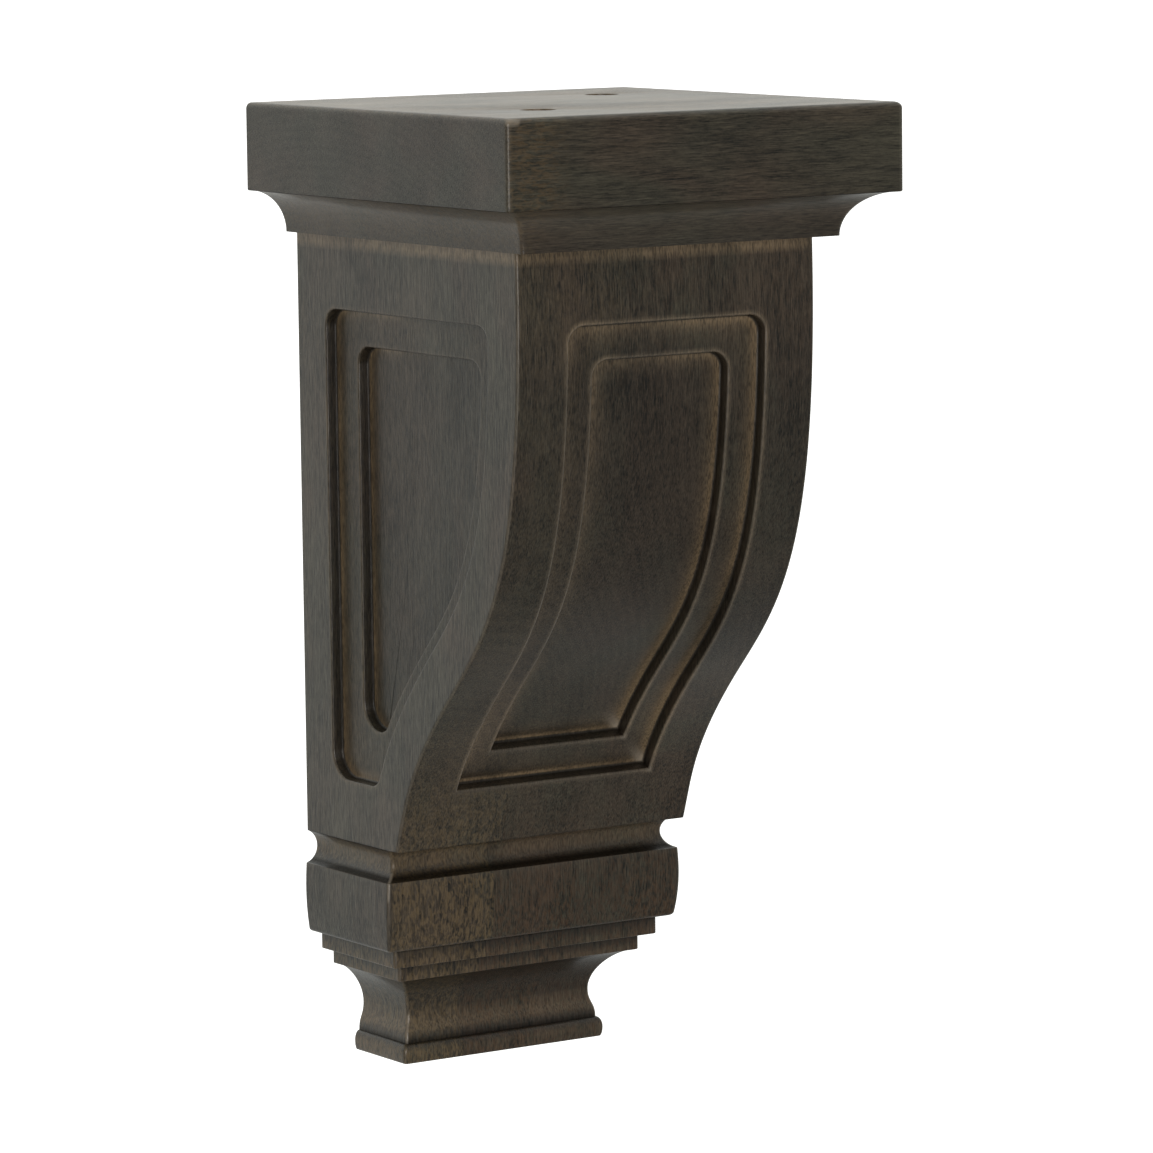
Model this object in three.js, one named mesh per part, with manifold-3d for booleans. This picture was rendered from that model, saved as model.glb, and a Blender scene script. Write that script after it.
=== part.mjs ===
// Decorative wooden corbel: a moulded cap on an S-curved bracket with stepped panels and a moulded foot.
// Millimetres, +Z up, front towards -Y. The back is flat at y = 0, and the origin is on it, halfway up.

import * as THREE from "three";
import { mergeVertices } from "three/addons/utils/BufferGeometryUtils.js";
import Module from "manifold-3d";

const wasm = await Module();
wasm.setup();

// Whole corbel
const HEIGHT = 349.5;

// Cap: a slab with a cove run under its front and side edges
const CAP_WIDTH = 165;
const CAP_DEPTH = 171;
const SLAB_EDGE = 31.4;
const SLAB_EASE = 2.2;
const COVE_RADIUS = 15.5;
const COVE_LIP = 0.3;
const SCREW_PLACE_DIAMETER = 12.7;
const SCREW_PLACE_DEPTH = 0.8;
const SCREW_PLACE_SPACING = 80;

// How far the cap's underside stands out past the bracket
const SIDE_REVEAL = 4.4;
const FRONT_REVEAL = 10.6;

// Bracket: depths are measured from the back, slopes as depth lost for each millimetre down
const SHOULDER_SLOPE = -0.03;
const TURN_DEPTH = 99;
const TURN_RISE = 60.5;
const TURN_SLOPE = 0.97;
const NECK_DEPTH = 61.4;
const NECK_SLOPE = 0.38;

// How far each end of the S-curve holds its slope, as a share of the height of its stretch
const SHOULDER_HOLD = 0.69;
const SWELL_HOLD = 0.235;
const HOLLOW_HOLD = 0.74;
const NECK_HOLD = 0.275;

// Panels: two nested recesses on the front and on each side
const PANEL_STEP = 4.3;
const PANEL_DROP = 26.7;
const PANEL_CORNER = 6.4;
const FRONT_PANEL_MARGIN = 21;
const FRONT_PANEL_RISE = 21.4;
const FRONT_PANEL_NEST = 12.8;
const SIDE_PANEL_MARGIN = 19.1;
const SIDE_PANEL_RISE = 22.3;
const SIDE_PANEL_HEEL = 10;
const SIDE_PANEL_SOLE = 1;
const SIDE_NEST_TOP = 12.9;
const SIDE_NEST_BACK = 14.8;
const SIDE_NEST_FRONT = 10.8;
const SIDE_NEST_BOTTOM = 19;

// Foot: neck groove, band, two steps, scotia and bead, set back from the band's face
const BAND_OVERHANG = 1.2;
const BAND_SETBACK = 4.4;
const BAND_HEIGHT = 25.6;
const BAND_SHOULDER = 0.5;
const BAND_SIDE_TAPER = 1.2;
const BAND_FRONT_TAPER = 1.9;
const BAND_CORNER = 1.8;
const NECK_RADIUS = 6.3;
const NECK_SINK = 5.1;
const STEP_SETBACKS = [6.5, 11.3];
const STEP_HEIGHTS = [6.9, 6.1];
const SCOTIA_SIDE_SINK = 12.5;
const SCOTIA_FRONT_SINK = 15;
const SCOTIA_UPPER = 15.6;
const SCOTIA_LOWER = 10.5;
const SCOTIA_RETURN = 2;
const BEAD_HEIGHT = 7.3;
const BEAD_PROUD = 1.9;
const BEAD_SOLE_ROUND = 0.9;

// How far the scotia holds its direction at its top and at its deepest line, as a share of its sink and height
const SCOTIA_TOP_HOLD = 0.42;
const SCOTIA_DEEP_HOLD = 0.49;

// Number of facets along curves
const CURVE_STEPS = 64;
const ARC_STEPS = 8;

// Levels, with the body's own zero at the joint under the cap
const capHeight = SLAB_EDGE + COVE_RADIUS;
const jointLevel = HEIGHT / 2 - capHeight;
const bodyWidth = CAP_WIDTH - 2 * (COVE_LIP + COVE_RADIUS + SIDE_REVEAL);
const shoulderDepth = CAP_DEPTH - COVE_LIP - COVE_RADIUS - FRONT_REVEAL;
const bandWidth = bodyWidth + 2 * BAND_OVERHANG;
const bandDepth = NECK_DEPTH - BAND_SETBACK;
const neckCentreInset = NECK_SINK - NECK_RADIUS;
const neckAbove = Math.sqrt(NECK_RADIUS ** 2 - (BAND_OVERHANG - neckCentreInset) ** 2);
const neckBelow = Math.sqrt(NECK_RADIUS ** 2 - (BAND_SHOULDER - neckCentreInset) ** 2);
const neckHeight = neckAbove + neckBelow;
const stepsHeight = STEP_HEIGHTS[0] + STEP_HEIGHTS[1];
const footHeight = neckHeight + BAND_HEIGHT + stepsHeight + SCOTIA_UPPER + SCOTIA_LOWER + BEAD_HEIGHT;
const bracketHeight = HEIGHT - capHeight - footHeight;

// Points of an elliptical arc, angles in degrees
function arc(u, v, radiusU, radiusV, from, to, steps = ARC_STEPS) {
  const points = [];
  for (let i = 0; i <= steps; i++) {
    const angle = THREE.MathUtils.degToRad(from + ((to - from) * i) / steps);
    points.push([u + radiusU * Math.cos(angle), v + radiusV * Math.sin(angle)]);
  }
  return points;
}

// Arc that rounds the corner of an outline between its neighbours
function roundedCorner(before, corner, after, radius) {
  const tip = new THREE.Vector2(...corner);
  const back = new THREE.Vector2(...before).sub(tip).normalize();
  const on = new THREE.Vector2(...after).sub(tip).normalize();
  const half = back.angleTo(on) / 2;
  const centre = back.clone().add(on).setLength(radius / Math.sin(half)).add(tip);
  const from = back.setLength(radius / Math.tan(half)).add(tip).sub(centre);
  const to = on.setLength(radius / Math.tan(half)).add(tip).sub(centre);
  const turn = Math.atan2(from.cross(to), from.dot(to));
  const start = THREE.MathUtils.radToDeg(from.angle());
  return arc(centre.x, centre.y, radius, radius, start, start + THREE.MathUtils.radToDeg(turn));
}

// Closed skin through equal rings of points, flat at both ends; each ring turns to the left along the way
function loft(rings) {
  const count = rings[0].length;
  const index = [];
  for (let r = 0; r + 1 < rings.length; r++) {
    for (let i = 0; i < count; i++) {
      const a = r * count + i;
      const b = r * count + ((i + 1) % count);
      index.push(a, b, b + count, a, b + count, a + count);
    }
  }
  const last = (rings.length - 1) * count;
  for (let i = 1; i + 1 < count; i++) {
    index.push(0, i + 1, i, last, last + i, last + i + 1);
  }
  const geometry = new THREE.BufferGeometry();
  geometry.setAttribute("position", new THREE.Float32BufferAttribute(rings.flat(2), 3));
  geometry.setIndex(index);
  return geometry;
}

// Block with its back at y = 0 and moulded on its other three sides; profile points are [inset, z], rising
function mouldedBlock(width, depth, sideProfile, frontProfile) {
  const rings = sideProfile.map(([sideInset, z], i) => {
    const [frontInset] = frontProfile[i];
    const x = width / 2 - sideInset;
    const y = frontInset - depth;
    return [[-x, 0, z], [-x, y, z], [x, y, z], [x, 0, z]];
  });
  return loft(rings);
}

// Outline in the side view, as [y, z] points, carried along X
function sidePrism(outline, left, right) {
  const shape = new THREE.Shape(outline.map(([y, z]) => new THREE.Vector2(y, z)));
  const geometry = new THREE.ExtrudeGeometry(shape, { depth: right - left, bevelEnabled: false });
  const yAxis = new THREE.Vector3(0, 1, 0);
  const zAxis = new THREE.Vector3(0, 0, 1);
  const xAxis = new THREE.Vector3(1, 0, 0);
  geometry.applyMatrix4(new THREE.Matrix4().makeBasis(yAxis, zAxis, xAxis));
  geometry.translate(left, 0, 0);
  return geometry;
}

function toSolid(geometry) {
  const bare = geometry.clone();
  bare.deleteAttribute("normal");
  bare.deleteAttribute("uv");
  const merged = mergeVertices(bare, 1e-4);
  const vertProperties = merged.attributes.position.array;
  const triVerts = new Uint32Array(merged.index.array);
  return new wasm.Manifold(new wasm.Mesh({ numProp: 3, vertProperties, triVerts }));
}

function toMesh(solid, name, material) {
  const { vertProperties, triVerts } = solid.getMesh();
  const geometry = new THREE.BufferGeometry();
  geometry.setAttribute("position", new THREE.BufferAttribute(vertProperties, 3));
  geometry.setIndex(new THREE.BufferAttribute(triVerts, 1));
  geometry.computeVertexNormals();
  const mesh = new THREE.Mesh(geometry, material);
  mesh.name = name;
  return mesh;
}

// The cap's own zero is at its underside
function makeCap() {
  const profile = [
    ...arc(COVE_LIP, 0, COVE_RADIUS, COVE_RADIUS, 0, 90, 2 * ARC_STEPS),
    [0, COVE_RADIUS],
    ...arc(SLAB_EASE, capHeight - SLAB_EASE, SLAB_EASE, SLAB_EASE, 180, 90),
  ];
  let cap = toSolid(mouldedBlock(CAP_WIDTH, CAP_DEPTH, profile, profile));
  for (const side of [-1, 1]) {
    const drill = new THREE.CylinderGeometry(
      SCREW_PLACE_DIAMETER / 2,
      SCREW_PLACE_DIAMETER / 2,
      2 * SCREW_PLACE_DEPTH,
      4 * ARC_STEPS,
    );
    drill.rotateX(Math.PI / 2);
    const offset = (side * SCREW_PLACE_SPACING) / 2;
    drill.translate(offset, offset - CAP_DEPTH / 2, capHeight);
    cap = cap.subtract(toSolid(drill));
  }
  return cap;
}

// S-curve of the bracket's front in the side view, from the cap down to the neck, as [y, z]
function makeFrontCurve() {
  const turnDrop = bracketHeight - TURN_RISE;
  const along = (slope, length) => new THREE.Vector2(slope, -1).normalize().multiplyScalar(length);
  const shoulder = new THREE.Vector2(-shoulderDepth, 0);
  const turn = new THREE.Vector2(-TURN_DEPTH, -turnDrop);
  const neck = new THREE.Vector2(-NECK_DEPTH, -bracketHeight);
  const swell = new THREE.CubicBezierCurve(
    shoulder,
    shoulder.clone().add(along(SHOULDER_SLOPE, SHOULDER_HOLD * turnDrop)),
    turn.clone().sub(along(TURN_SLOPE, SWELL_HOLD * turnDrop)),
    turn,
  );
  const hollow = new THREE.CubicBezierCurve(
    turn,
    turn.clone().add(along(TURN_SLOPE, HOLLOW_HOLD * TURN_RISE)),
    neck.clone().sub(along(NECK_SLOPE, NECK_HOLD * TURN_RISE)),
    neck,
  );
  const path = new THREE.CurvePath();
  path.add(swell);
  path.add(hollow);
  return path;
}

const frontCurve = makeFrontCurve();
const frontLength = frontCurve.getLength();

// Point at a distance along the S-curve, sunk below its surface
function frontPoint(distance, sink) {
  const share = THREE.MathUtils.clamp(distance / frontLength, 0, 1);
  const point = frontCurve.getPoint(share);
  const tangent = frontCurve.getTangent(share);
  return [point.x - sink * tangent.y, point.y + sink * tangent.x];
}

// Distance along the S-curve at which it passes a level
function frontDistance(level) {
  let low = 0;
  let high = frontLength;
  for (let i = 0; i < 40; i++) {
    const middle = (low + high) / 2;
    if (frontPoint(middle, 0)[1] > level) {
      low = middle;
    } else {
      high = middle;
    }
  }
  return low;
}

function frontLine(sink) {
  const points = [];
  for (let i = 0; i <= CURVE_STEPS; i++) {
    points.push(frontPoint((frontLength * i) / CURVE_STEPS, sink));
  }
  return points;
}

// Recess sunk in the curved front, with its upper corners rounded and its lower corners square
function frontRecess(halfWidth, start, end, floor) {
  const rings = [];
  const addRing = (distance, width) => {
    const [floorY, floorZ] = frontPoint(distance, floor);
    const [outerY, outerZ] = frontPoint(distance, -PANEL_STEP);
    rings.push([
      [-width, floorY, floorZ],
      [width, floorY, floorZ],
      [width, outerY, outerZ],
      [-width, outerY, outerZ],
    ]);
  };
  const corner = arc(halfWidth - PANEL_CORNER, start + PANEL_CORNER, PANEL_CORNER, PANEL_CORNER, -90, 0);
  corner.forEach(([width, distance]) => addRing(distance, width));
  const straight = end - start - PANEL_CORNER;
  const steps = Math.ceil((CURVE_STEPS * straight) / frontLength);
  for (let i = 1; i <= steps; i++) {
    addRing(start + PANEL_CORNER + (straight * i) / steps, halfWidth);
  }
  return loft(rings);
}

// Outline of a side recess: a line that follows the S-curve in front, straight at the top, back and bottom;
// the round at its heel leaves a straight sole before the round at its toe
function sideOutline(backDepth, top, bottom, setback) {
  const line = frontLine(SIDE_PANEL_MARGIN).map(([y, z]) => [y + setback, z]);
  const onLine = (level) => {
    const next = line.findIndex(([, z]) => z <= level);
    const [y0, z0] = line[next - 1];
    const [y1, z1] = line[next];
    return y0 + ((y1 - y0) * (level - z0)) / (z1 - z0);
  };
  const upper = top - PANEL_CORNER;
  const frontY = onLine(upper);
  const backY = -backDepth;
  const tip = [onLine(bottom), bottom];
  const aboveTip = [onLine(bottom + PANEL_CORNER), bottom + PANEL_CORNER];
  const toe = roundedCorner([backY, bottom], tip, aboveTip, PANEL_CORNER);
  const [toeY] = toe[0];
  const [, toeTop] = toe[toe.length - 1];
  const rising = line.filter(([, z]) => z < upper && z > toeTop).reverse();
  const heel = Math.min(SIDE_PANEL_HEEL, backY - toeY - SIDE_PANEL_SOLE);
  return [
    ...toe,
    ...rising,
    ...arc(frontY + PANEL_CORNER, upper, PANEL_CORNER, PANEL_CORNER, 180, 90),
    ...arc(backY - PANEL_CORNER, upper, PANEL_CORNER, PANEL_CORNER, 90, 0),
    ...arc(backY - heel, bottom + heel, heel, heel, 0, -90),
  ];
}

// Levels of the foot's mouldings
const bandTop = -bracketHeight - neckHeight;
const bandBottom = bandTop - BAND_HEIGHT;
const stepOneBottom = bandBottom - STEP_HEIGHTS[0];
const scotiaTop = stepOneBottom - STEP_HEIGHTS[1];
const scotiaMiddle = scotiaTop - SCOTIA_UPPER;
const beadTop = scotiaMiddle - SCOTIA_LOWER;

function curvePoints(curve) {
  return curve.getPoints(2 * ARC_STEPS).map((point) => [point.x, point.y]);
}

// Profile of the foot from the bead's underside up, the last point inside the bracket
function footProfile(bandTaper, scotiaSink) {
  const scotiaEdge = STEP_SETBACKS[1];
  const scotiaDeep = scotiaEdge + scotiaSink;
  const scotiaFoot = scotiaDeep - SCOTIA_RETURN;
  const beadFace = scotiaFoot - BEAD_PROUD;
  const beadHalf = BEAD_HEIGHT / 2;
  const neckStart = THREE.MathUtils.radToDeg(Math.asin(-neckBelow / NECK_RADIUS));
  const neckEnd = THREE.MathUtils.radToDeg(Math.asin(neckAbove / NECK_RADIUS));
  const scotiaReturn = new THREE.CubicBezierCurve(
    new THREE.Vector2(scotiaFoot, beadTop),
    new THREE.Vector2(scotiaFoot, beadTop + SCOTIA_LOWER / 2),
    new THREE.Vector2(scotiaDeep, scotiaMiddle - SCOTIA_LOWER / 2),
    new THREE.Vector2(scotiaDeep, scotiaMiddle),
  );
  const scotia = new THREE.CubicBezierCurve(
    new THREE.Vector2(scotiaDeep, scotiaMiddle),
    new THREE.Vector2(scotiaDeep, scotiaMiddle + SCOTIA_DEEP_HOLD * SCOTIA_UPPER),
    new THREE.Vector2(scotiaEdge + SCOTIA_TOP_HOLD * scotiaSink, scotiaTop),
    new THREE.Vector2(scotiaEdge, scotiaTop),
  );
  const bandFace = new THREE.QuadraticBezierCurve(
    new THREE.Vector2(bandTaper, bandBottom + BAND_CORNER),
    new THREE.Vector2(-BAND_SHOULDER, (bandTop + bandBottom) / 2),
    new THREE.Vector2(BAND_SHOULDER, bandTop),
  );
  return [
    ...arc(beadFace + BEAD_SOLE_ROUND, beadTop - beadHalf, BEAD_SOLE_ROUND, beadHalf, 270, 180),
    ...arc(scotiaFoot, beadTop - beadHalf, BEAD_PROUD, beadHalf, 180, 90).slice(1),
    ...curvePoints(scotiaReturn).slice(1),
    ...curvePoints(scotia).slice(1),
    [STEP_SETBACKS[1], stepOneBottom],
    [STEP_SETBACKS[0], stepOneBottom],
    [STEP_SETBACKS[0], bandBottom],
    ...arc(bandTaper + BAND_CORNER, bandBottom + BAND_CORNER, BAND_CORNER, BAND_CORNER, 270, 180),
    ...curvePoints(bandFace).slice(1),
    ...arc(neckCentreInset, bandTop + neckBelow, NECK_RADIUS, NECK_RADIUS, neckStart, neckEnd, 2 * ARC_STEPS),
    [NECK_SINK, -bracketHeight + NECK_RADIUS],
  ];
}

function makeFoot() {
  const sideProfile = footProfile(BAND_SIDE_TAPER, SCOTIA_SIDE_SINK);
  const frontProfile = footProfile(BAND_FRONT_TAPER, SCOTIA_FRONT_SINK);
  return mouldedBlock(bandWidth, bandDepth, sideProfile, frontProfile);
}

function makeBody() {
  const half = bodyWidth / 2;
  const bracket = sidePrism([[0, 0], ...frontLine(0), [0, -bracketHeight]], -half, half);
  let body = toSolid(bracket).add(toSolid(makeFoot()));

  const top = -PANEL_DROP;
  const bottom = SIDE_PANEL_RISE - bracketHeight;
  const outer = sideOutline(SIDE_PANEL_MARGIN, top, bottom, 0);
  const inner = sideOutline(
    SIDE_PANEL_MARGIN + SIDE_NEST_BACK,
    top - SIDE_NEST_TOP,
    bottom + SIDE_NEST_BOTTOM,
    SIDE_NEST_FRONT,
  );
  const start = frontDistance(top);
  const end = frontDistance(FRONT_PANEL_RISE - bracketHeight);
  const panelHalf = half - FRONT_PANEL_MARGIN;
  const cutters = [
    frontRecess(panelHalf, start, end, PANEL_STEP),
    frontRecess(panelHalf - FRONT_PANEL_NEST, start + FRONT_PANEL_NEST, end - FRONT_PANEL_NEST, 2 * PANEL_STEP),
  ];
  [outer, inner].forEach((outline, step) => {
    const floor = (step + 1) * PANEL_STEP;
    cutters.push(sidePrism(outline, -half - PANEL_STEP, -half + floor));
    cutters.push(sidePrism(outline, half - floor, half + PANEL_STEP));
  });
  for (const cutter of cutters) {
    body = body.subtract(toSolid(cutter));
  }
  return body;
}

// Dark espresso stain under a satin lacquer
const capWood = new THREE.MeshStandardMaterial({ color: 0x40382e, roughness: 0.42, metalness: 0 });
const bodyWood = new THREE.MeshStandardMaterial({ color: 0x3d352b, roughness: 0.45, metalness: 0 });

const cap = toMesh(makeCap(), "cap", capWood);
cap.position.z = jointLevel;

const body = toMesh(makeBody(), "body", bodyWood);
body.position.z = jointLevel;

const corbel = new THREE.Group();
corbel.add(cap, body);

export default corbel;
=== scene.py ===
"""A wall corbel in dark stained maple: moulded cap, S-curved bracket with sunk panels, moulded foot."""

import math

import bmesh
import bpy
import numpy as np
from mathutils import Matrix, Vector


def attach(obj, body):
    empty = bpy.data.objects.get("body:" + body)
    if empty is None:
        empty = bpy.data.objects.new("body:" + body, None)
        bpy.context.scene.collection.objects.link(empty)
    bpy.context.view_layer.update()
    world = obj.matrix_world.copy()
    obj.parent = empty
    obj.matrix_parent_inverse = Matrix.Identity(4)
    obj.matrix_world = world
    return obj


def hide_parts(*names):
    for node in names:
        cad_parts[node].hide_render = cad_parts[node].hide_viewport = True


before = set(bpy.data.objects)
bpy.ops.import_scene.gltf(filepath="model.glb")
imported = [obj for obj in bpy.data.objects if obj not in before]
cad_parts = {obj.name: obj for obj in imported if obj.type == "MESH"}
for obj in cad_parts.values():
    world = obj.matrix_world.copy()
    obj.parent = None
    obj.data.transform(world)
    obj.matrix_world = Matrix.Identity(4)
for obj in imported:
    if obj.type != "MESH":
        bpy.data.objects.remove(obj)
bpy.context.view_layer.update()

# Camera, standing to the left of the front and a little above the middle of the corbel.
# It looks along the photograph's line of sight through a long lens.
CAMERA_PLACE = (-1.14378, -1.80946, 0.27024)
CAMERA_AZIMUTH = 33.563
CAMERA_DIP = 7.281
CAMERA_ROLL = -0.687
FOCAL_PIXELS = 5851.1
FRAME_PIXELS = 1153
SENSOR = 36.0


def aim(azimuth, dip, roll):
    """Axes of a camera as a rotation: right, up and backwards, angles in degrees."""
    a, d, r = (math.radians(v) for v in (azimuth, dip, roll))
    forward = np.array([math.sin(a) * math.cos(d), math.cos(a) * math.cos(d), -math.sin(d)])
    level = np.array([math.cos(a), -math.sin(a), 0.0])
    upright = np.cross(level, forward)
    right = math.cos(r) * level + math.sin(r) * upright
    return Matrix(np.column_stack([right, np.cross(right, forward), -forward]).tolist()).to_4x4()


camera_data = bpy.data.cameras.new("studio_camera")
camera_data.sensor_width = SENSOR
camera_data.lens = FOCAL_PIXELS / FRAME_PIXELS * SENSOR
camera_data.clip_end = 200
camera = bpy.data.objects.new("studio_camera", camera_data)
camera.matrix_world = Matrix.Translation(CAMERA_PLACE) @ aim(CAMERA_AZIMUTH, CAMERA_DIP, CAMERA_ROLL)
bpy.context.scene.collection.objects.link(camera)
bpy.context.scene.camera = camera
bpy.context.scene.view_settings.view_transform = "Standard"

# Studio: a pale floor well below the corbel, which hangs clear of it, and soft light. The surroundings are
# bright behind and dim in front, so the satin lacquer takes its veil on the cap and the sides.
FLOOR_LEVEL = -1.5
FLOOR_HALF = 80.0
FLOOR_GLOWS = (0.15, 0.8)
FLOOR_GLOW_BETWEEN = (0.6, 2.6)
SURROUND_STRENGTHS = (0.13, 0.87)
SURROUND_BETWEEN = (-0.65, 0.9)
SURROUND_TOWARDS = (0.5, 0.8, 0.55)
SURROUND_SEEN = 0.86


def linear(hex_colour):
    """Linear RGBA of an sRGB hex colour."""
    parts = [int(hex_colour[i : i + 2], 16) / 255 for i in (1, 3, 5)]
    return [c / 12.92 if c <= 0.04045 else ((c + 0.055) / 1.055) ** 2.4 for c in parts] + [1.0]


def add(tree, kind, inputs, take=0, **settings):
    """Adds a shader node, sets or links its inputs, and gives back one of its outputs."""
    node = tree.nodes.new("ShaderNode" + kind)
    for name, value in settings.items():
        setattr(node, name, value)
    for socket, value in inputs.items():
        if isinstance(value, bpy.types.NodeSocket):
            tree.links.new(value, node.inputs[socket])
        else:
            node.inputs[socket].default_value = linear(value) if isinstance(value, str) else value
    return node.outputs[take] if node.outputs else None


def empty_tree(holder):
    """The cleared node tree of a material or of the world."""
    holder.use_nodes = True
    holder.node_tree.nodes.clear()
    return holder.node_tree


world = bpy.data.worlds.new("soft_studio")
bpy.context.scene.world = world
tree = empty_tree(world)
way = add(tree, "TexCoord", {}, "Generated")
towards = add(tree, "VectorMath", {0: way, 1: SURROUND_TOWARDS}, "Value", operation="DOT_PRODUCT")
shading = dict(enumerate((towards, *SURROUND_BETWEEN, *SURROUND_STRENGTHS)))
glow = add(tree, "MapRange", shading, interpolation_type="SMOOTHSTEP")
# What the lens sees past the floor's edge is pale all round
glow = add(tree, "MapRange", {0: add(tree, "LightPath", {}, "Is Camera Ray"), 3: glow, 4: SURROUND_SEEN})
add(tree, "OutputWorld", {0: add(tree, "Background", {"Color": "#fbfefa", "Strength": glow})})

floor_mesh = bpy.data.meshes.new("studio_floor")
corners = [(x * FLOOR_HALF, y * FLOOR_HALF, FLOOR_LEVEL) for x, y in ((-1, -1), (1, -1), (1, 1), (-1, 1))]
floor_mesh.from_pydata(corners, [], [(0, 1, 2, 3)])
floor = bpy.data.objects.new("studio_floor", floor_mesh)
bpy.context.scene.collection.objects.link(floor)
# White paper, faintly mottled, with a painted glow (emission) that rises behind the corbel so that it meets
# the white surroundings without a line
paper = bpy.data.materials.new("white_paper_sweep")
tree = empty_tree(paper)
place = add(tree, "TexCoord", {}, "Object")
mottle = add(tree, "TexNoise", {"Vector": place, "Scale": 0.4, "Detail": 2.0})
tint = add(tree, "Mix", {0: mottle, 6: "#f4f3f1", 7: "#faf9f8"}, 2, data_type="RGBA")
away = add(tree, "SeparateXYZ", {0: place}, "Y")
painted_glow_behind = add(tree, "MapRange", dict(enumerate((away, *FLOOR_GLOW_BETWEEN, *FLOOR_GLOWS))))
sheet = {"Base Color": tint, "Roughness": 0.9, "Emission Color": "#ffffff", "Emission Strength": painted_glow_behind}
add(tree, "OutputMaterial", {0: add(tree, "BsdfPrincipled", sheet)})
floor_mesh.materials.append(paper)
floor.visible_glossy = False

for name, lamp_place, size, watts, colour in (
    ("key_front", (-1.2, -2.6, 0.5), (1.6, 1.6), 36, "#fffaf4"),
    ("overhead", (0.3, 0.2, 2.4), (2.0, 2.0), 50, "#ffffff"),
):
    lamp_data = bpy.data.lights.new(name, "AREA")
    lamp_data.shape = "RECTANGLE"
    lamp_data.size, lamp_data.size_y = size
    lamp_data.energy = watts
    lamp_data.color = linear(colour)[:3]
    lamp = bpy.data.objects.new(name, lamp_data)
    lamp.location = lamp_place
    lamp.visible_glossy = name == "key_front"
    lamp.rotation_euler = (-Vector(lamp_place)).to_track_quat("-Z", "Y").to_euler()
    bpy.context.scene.collection.objects.link(lamp)

# Body: the S-curved bracket, its panels, neck groove, band, steps, scotia and bead, cut from one block of
# maple staves glued edge to edge with upright grain. The panels are sunk with a round-nosed bit, so their
# edges are a little rounded; dark glaze and painted shade lie in the corners, and the stain is rubbed
# through beside them.

# Sizes are in millimetres, with levels counted from the joint under the cap
MM = 0.001
JOINT = 127.85
BRACKET_DEEP = 218.71
BODY_HALF = 62.3
# The S-curve as two Bezier spans: its ends and turn, their slopes, and how far each handle holds
SHOULDER = (-144.6, 0.0)
SHOULDER_SLOPE = -0.03
TURN_RISE = 60.5
TURN_DEPTH = 99.0
TURN_SLOPE = 0.97
NECK_DEPTH = 61.4
NECK_SLOPE = 0.38
HOLDS = (0.69, 0.235, 0.74, 0.275)
# The panels: depth of each of their two steps, gap under the cap, and corner round
PANEL_STEP = 4.3
PANEL_DROP = 26.7
PANEL_CORNER = 6.4
# The front's outer panel, how far the inner one lies inside it, and the share of its height where it closes
FRONT_HALF = 41.3
FRONT_RISE = 21.4
FRONT_NEST = 12.8
FRONT_SPINE = 0.72
# The side's outer panel, and how far the inner one lies inside it at the top, back, front and bottom
SIDE_MARGIN = 19.1
SIDE_RISE = 22.3
SIDE_HEEL = 10.0
SIDE_NEST = (12.9, 14.8, 10.8, 19.0)
ARRIS = 0.9
PANEL_ARRIS = 0.7
PANEL_FILLET = 0.9
# Mesh steps along, across and into the bracket and round an arris, and how they crowd towards edges
ALONG = 112
ACROSS = 46
DEEP = 44
ROUND = 5
ARC_STEPS = 40
CURVE_STEPS = 600
CROWDING = 0.62
NEAR = 3
# Patina and painted highlight round a panel's steps. On the rim: reach, and share of the arris's wear and
# painted highlight
RIM_REACH = 2.2
RIM_RUBS = ((1.6, 0.3), (PANEL_ARRIS + 0.25, 0.7))
# Dark glaze and painted shade on the arris, on the wall and in the corner at its foot
ARRIS_GLAZE_AND_SHADE = 0.45
WALL_GLAZE_AND_SHADE = 0.6
CORNER_GLAZE_AND_SHADE = 0.75
# On the floor: share of the rub's reach, and strength of the rub
FLOOR_RUBS = ((0.4, 0.6), (0.65, 0.32), (1.0, 0.12))
# Reach of the rub, and wear and painted highlight of the arris
PANEL_RUBS = {"front": (6.0, 0.12), "side": (4.9, 0.06)}
# Darkening and paleness of the rim, the outer floor and the inner floor; the pale side rim is a painted
# sheen
PANEL_TONES = {"front": ((0, 0), (0.04, 0), (0.2, 0)), "side": ((0, 0.03), (0.12, 0), (0.3, 0))}
# Edges turn square from this angle, in degrees
SQUARE_EDGE = 38


def bezier(points, steps=CURVE_STEPS):
    """Points along a cubic Bezier span."""
    t = np.linspace(0, 1, steps + 1)[:, None]
    a, b, c, d = (np.array(p, float) for p in points)
    return (1 - t) ** 3 * a + 3 * t * (1 - t) ** 2 * b + 3 * t**2 * (1 - t) * c + t**3 * d


def slope_step(slope, length):
    """Step of a length down a slope."""
    step = np.array([slope, -1.0])
    return step / np.linalg.norm(step) * length


turn_drop = BRACKET_DEEP - TURN_RISE
turn = np.array([-TURN_DEPTH, -turn_drop])
neck = np.array([-NECK_DEPTH, -BRACKET_DEEP])
swell = [
    SHOULDER,
    SHOULDER + slope_step(SHOULDER_SLOPE, HOLDS[0] * turn_drop),
    turn - slope_step(TURN_SLOPE, HOLDS[1] * turn_drop),
    turn,
]
hollow = [
    turn,
    turn + slope_step(TURN_SLOPE, HOLDS[2] * TURN_RISE),
    neck - slope_step(NECK_SLOPE, HOLDS[3] * TURN_RISE),
    neck,
]
curve = np.vstack([bezier(swell), bezier(hollow)[1:]])
run = np.concatenate([[0], np.cumsum(np.linalg.norm(np.diff(curve, axis=0), axis=1))])
curve_length = run[-1]
heading = np.gradient(curve, run, axis=0)
heading /= np.linalg.norm(heading, axis=1)[:, None]


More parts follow.
